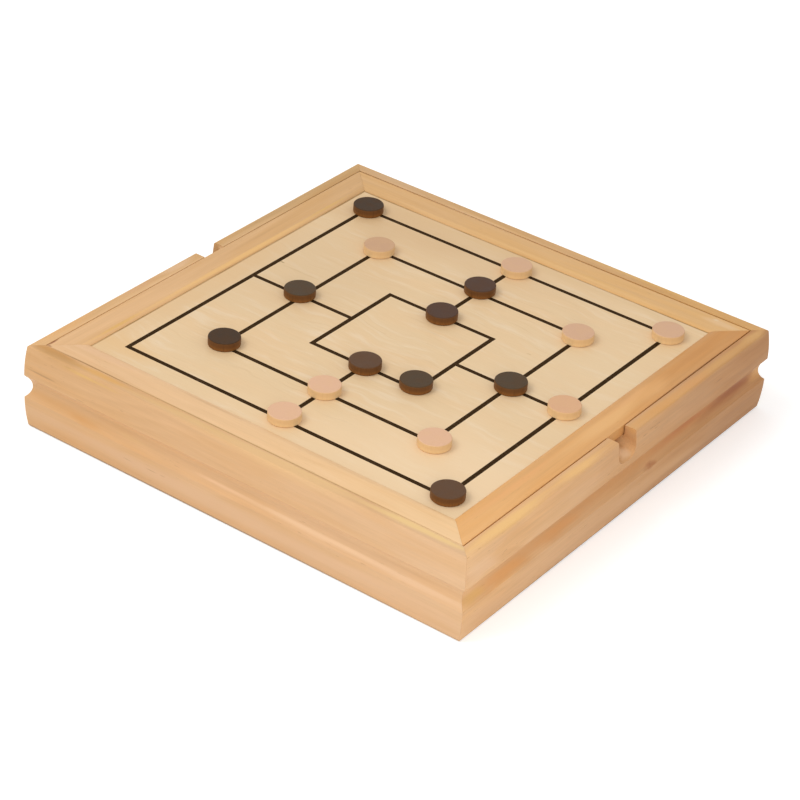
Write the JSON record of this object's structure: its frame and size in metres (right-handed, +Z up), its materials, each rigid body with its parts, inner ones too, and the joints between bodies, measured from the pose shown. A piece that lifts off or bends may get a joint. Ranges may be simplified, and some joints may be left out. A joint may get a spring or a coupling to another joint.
{
  "type": "games compendium",
  "caption": "Square wooden games box with a lift-out framed nine men's morris board flush in its top, finger notches, a second board and trays of chessmen, counters, dominoes and dice.",
  "frame": {"origin": "middle of the box's underside", "axes": "+X along the front wall to the right, towards the wall with the right finger notch; +Y to the back; +Z up out of the box"},
  "size_m": [0.298, 0.298, 0.0559],
  "materials": {
    "front_wall_wood": "satin",
    "right_wall_wood": "satin",
    "back_wall_wood": "satin",
    "left_wall_wood": "satin",
    "base_plywood": "matte",
    "divider_wood": "satin",
    "board_plywood": "satin",
    "line_ink": "satin",
    "dark_veneer": "satin",
    "light_veneer": "satin",
    "front_strip_wood": "satin",
    "right_strip_wood": "satin",
    "back_strip_wood": "satin",
    "left_strip_wood": "satin",
    "dark_counter_wood": "gloss",
    "light_counter_wood": "satin",
    "second_plywood": "satin",
    "dark_chess_wood": "gloss",
    "light_chess_wood": "satin",
    "domino_black": "satin",
    "pip_ivory": "matte",
    "die_ivory": "gloss",
    "pip_black": "matte"
  },
  "bodies": {
    "box": {"front_wall": "front_wall_wood", "right_wall": "right_wall_wood", "back_wall": "back_wall_wood", "left_wall": "left_wall_wood", "base_panel": "base_plywood", "left_divider": "divider_wood", "right_divider": "divider_wood", "cross_divider": "divider_wood"},
    "morris_board": {"morris_panel": "board_plywood", "morris_lines": "line_ink", "chess_squares": "dark_veneer", "board_frame_front": "front_strip_wood", "board_frame_right": "right_strip_wood", "board_frame_back": "back_strip_wood", "board_frame_left": "left_strip_wood"},
    "dark_counter_1": {"dark_counter_1": "dark_counter_wood"},
    "dark_counter_2": {"dark_counter_2": "dark_counter_wood"},
    "dark_counter_3": {"dark_counter_3": "dark_counter_wood"},
    "dark_counter_4": {"dark_counter_4": "dark_counter_wood"},
    "dark_counter_5": {"dark_counter_5": "dark_counter_wood"},
    "dark_counter_6": {"dark_counter_6": "dark_counter_wood"},
    "dark_counter_7": {"dark_counter_7": "dark_counter_wood"},
    "dark_counter_8": {"dark_counter_8": "dark_counter_wood"},
    "dark_counter_9": {"dark_counter_9": "dark_counter_wood"},
    "light_counter_1": {"light_counter_1": "light_counter_wood"},
    "light_counter_2": {"light_counter_2": "light_counter_wood"},
    "light_counter_3": {"light_counter_3": "light_counter_wood"},
    "light_counter_4": {"light_counter_4": "light_counter_wood"},
    "light_counter_5": {"light_counter_5": "light_counter_wood"},
    "light_counter_6": {"light_counter_6": "light_counter_wood"},
    "light_counter_7": {"light_counter_7": "light_counter_wood"},
    "light_counter_8": {"light_counter_8": "light_counter_wood"},
    "second_board": {"backgammon_panel": "second_plywood", "backgammon_dark_points": "dark_veneer", "backgammon_light_points": "light_veneer"},
    "dark_chessmen": {"dark_king": "dark_chess_wood", "dark_queen": "dark_chess_wood", "dark_bishops": "dark_chess_wood", "dark_knights": "dark_chess_wood", "dark_rooks": "dark_chess_wood", "dark_pawns": "dark_chess_wood"},
    "light_chessmen": {"light_king": "light_chess_wood", "light_queen": "light_chess_wood", "light_bishops": "light_chess_wood", "light_knights": "light_chess_wood", "light_rooks": "light_chess_wood", "light_pawns": "light_chess_wood"},
    "spare_counters": {"spare_dark_counters": "dark_counter_wood", "spare_light_counters": "light_counter_wood"},
    "dominoes": {"domino_tiles": "domino_black", "domino_marks": "pip_ivory"},
    "dice_pair": {"dice": "die_ivory", "dice_pips": "pip_black"}
  },
  "joints": [
    {"name": "board_lift", "type": "slide", "parent": "box", "child": "morris_board", "axis": [0, 0, 1], "range_m": [0, 0.12]},
    {"name": "dark_counter_1_lift", "type": "slide", "parent": "morris_board", "child": "dark_counter_1", "axis": [0, 0, 1], "range_m": [0, 0.03]},
    {"name": "dark_counter_2_lift", "type": "slide", "parent": "morris_board", "child": "dark_counter_2", "axis": [0, 0, 1], "range_m": [0, 0.03]},
    {"name": "dark_counter_3_lift", "type": "slide", "parent": "morris_board", "child": "dark_counter_3", "axis": [0, 0, 1], "range_m": [0, 0.03]},
    {"name": "dark_counter_4_lift", "type": "slide", "parent": "morris_board", "child": "dark_counter_4", "axis": [0, 0, 1], "range_m": [0, 0.03]},
    {"name": "dark_counter_5_lift", "type": "slide", "parent": "morris_board", "child": "dark_counter_5", "axis": [0, 0, 1], "range_m": [0, 0.03]},
    {"name": "dark_counter_6_lift", "type": "slide", "parent": "morris_board", "child": "dark_counter_6", "axis": [0, 0, 1], "range_m": [0, 0.03]},
    {"name": "dark_counter_7_lift", "type": "slide", "parent": "morris_board", "child": "dark_counter_7", "axis": [0, 0, 1], "range_m": [0, 0.03]},
    {"name": "dark_counter_8_lift", "type": "slide", "parent": "morris_board", "child": "dark_counter_8", "axis": [0, 0, 1], "range_m": [0, 0.03]},
    {"name": "dark_counter_9_lift", "type": "slide", "parent": "morris_board", "child": "dark_counter_9", "axis": [0, 0, 1], "range_m": [0, 0.03]},
    {"name": "light_counter_1_lift", "type": "slide", "parent": "morris_board", "child": "light_counter_1", "axis": [0, 0, 1], "range_m": [0, 0.03]},
    {"name": "light_counter_2_lift", "type": "slide", "parent": "morris_board", "child": "light_counter_2", "axis": [0, 0, 1], "range_m": [0, 0.03]},
    {"name": "light_counter_3_lift", "type": "slide", "parent": "morris_board", "child": "light_counter_3", "axis": [0, 0, 1], "range_m": [0, 0.03]},
    {"name": "light_counter_4_lift", "type": "slide", "parent": "morris_board", "child": "light_counter_4", "axis": [0, 0, 1], "range_m": [0, 0.03]},
    {"name": "light_counter_5_lift", "type": "slide", "parent": "morris_board", "child": "light_counter_5", "axis": [0, 0, 1], "range_m": [0, 0.03]},
    {"name": "light_counter_6_lift", "type": "slide", "parent": "morris_board", "child": "light_counter_6", "axis": [0, 0, 1], "range_m": [0, 0.03]},
    {"name": "light_counter_7_lift", "type": "slide", "parent": "morris_board", "child": "light_counter_7", "axis": [0, 0, 1], "range_m": [0, 0.03]},
    {"name": "light_counter_8_lift", "type": "slide", "parent": "morris_board", "child": "light_counter_8", "axis": [0, 0, 1], "range_m": [0, 0.03]},
    {"name": "second_board_lift", "type": "slide", "parent": "box", "child": "second_board", "axis": [0, 0, 1], "range_m": [0, 0.096]},
    {"name": "dark_chessmen_lift", "type": "slide", "parent": "box", "child": "dark_chessmen", "axis": [0, 0, 1], "range_m": [0, 0.072]},
    {"name": "light_chessmen_lift", "type": "slide", "parent": "box", "child": "light_chessmen", "axis": [0, 0, 1], "range_m": [0, 0.072]},
    {"name": "spare_counters_lift", "type": "slide", "parent": "box", "child": "spare_counters", "axis": [0, 0, 1], "range_m": [0, 0.072]},
    {"name": "dominoes_lift", "type": "slide", "parent": "box", "child": "dominoes", "axis": [0, 0, 1], "range_m": [0, 0.072]},
    {"name": "dice_pair_lift", "type": "slide", "parent": "box", "child": "dice_pair", "axis": [0, 0, 1], "range_m": [0, 0.072]}
  ],
  "couplings": [
    {"joint": "second_board_lift", "follows": "board_lift", "ratio": 0.8},
    {"joint": "dark_chessmen_lift", "follows": "board_lift", "ratio": 0.6},
    {"joint": "light_chessmen_lift", "follows": "board_lift", "ratio": 0.6},
    {"joint": "spare_counters_lift", "follows": "board_lift", "ratio": 0.6},
    {"joint": "dominoes_lift", "follows": "board_lift", "ratio": 0.6},
    {"joint": "dice_pair_lift", "follows": "board_lift", "ratio": 0.6}
  ]
}
